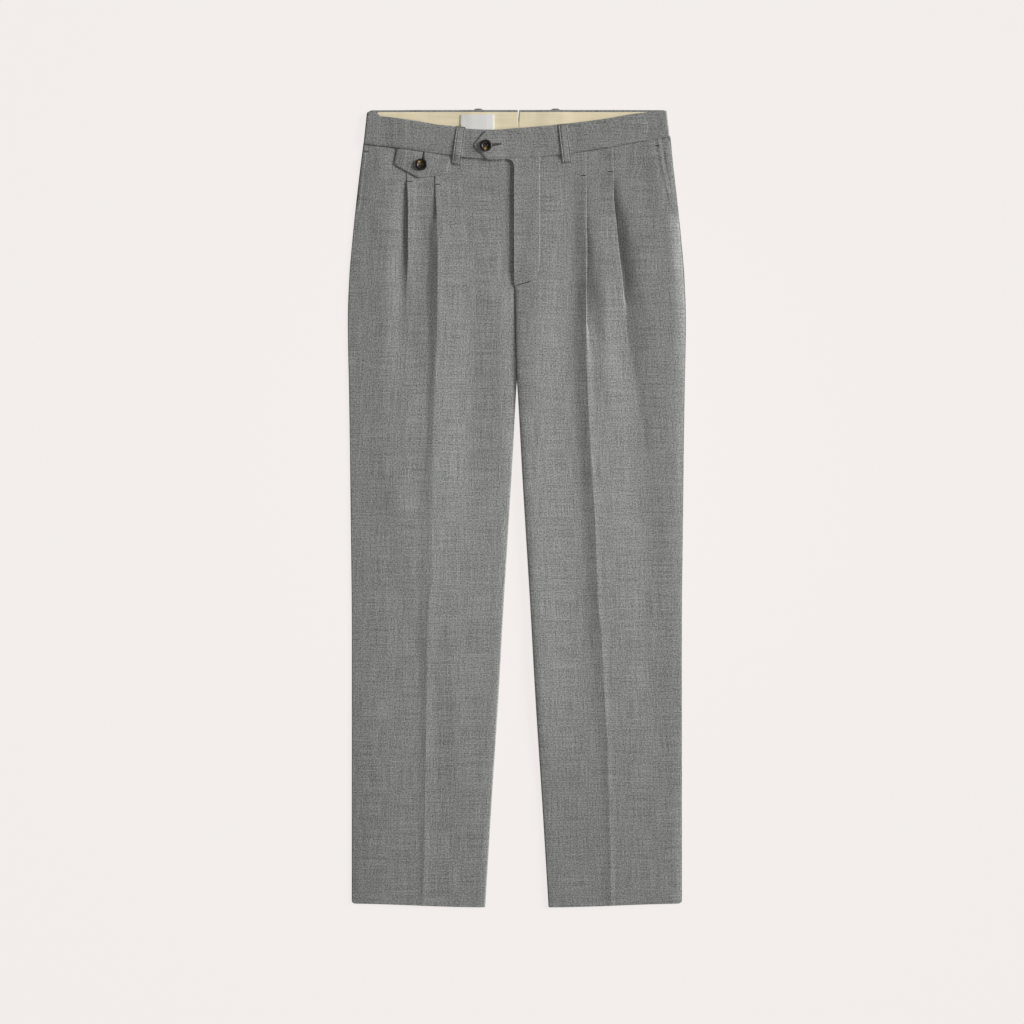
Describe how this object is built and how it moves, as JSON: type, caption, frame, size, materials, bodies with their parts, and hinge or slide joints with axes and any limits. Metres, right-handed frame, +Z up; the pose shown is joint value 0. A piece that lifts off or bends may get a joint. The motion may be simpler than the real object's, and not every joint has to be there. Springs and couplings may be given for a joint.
{
  "type": "pleated dress trousers",
  "caption": "Pleated dress trousers in grey wool, laid flat front up, with a pointed waist tab, belt loops and a flapped watch pocket.",
  "frame": {"origin": "middle of the underside, on the surface that the trousers lie on", "axes": "+Y up the garment to the waist, +Z up from the surface, +X towards the wearer's left"},
  "size_m": [0.4558, 1.0774, 0.0138],
  "materials": {
    "suiting": "fine heathered worsted wool, matt with a faint nap",
    "lining": "smooth cream twill",
    "label": "woven satin, bare",
    "button": "polished dark horn with tortoise streaks"
  },
  "bodies": {
    "root": {"back_panel_left": "suiting", "back_panel_right": "suiting", "front_panel_left": "suiting", "front_panel_right": "suiting", "waistband_left": "suiting", "waistband_right": "suiting", "waistband_lining_left": "lining", "waistband_lining_right": "lining", "label": "label", "belt_loop_front_left": "suiting", "belt_loop_front_right": "suiting", "belt_loop_back_left": "suiting", "belt_loop_back_right": "suiting", "coin_pocket_flap": "suiting", "pocket_facing_left": "suiting", "pocket_facing_right": "suiting", "button_waist": "button", "button_flap": "button"}
  },
  "joints": []
}
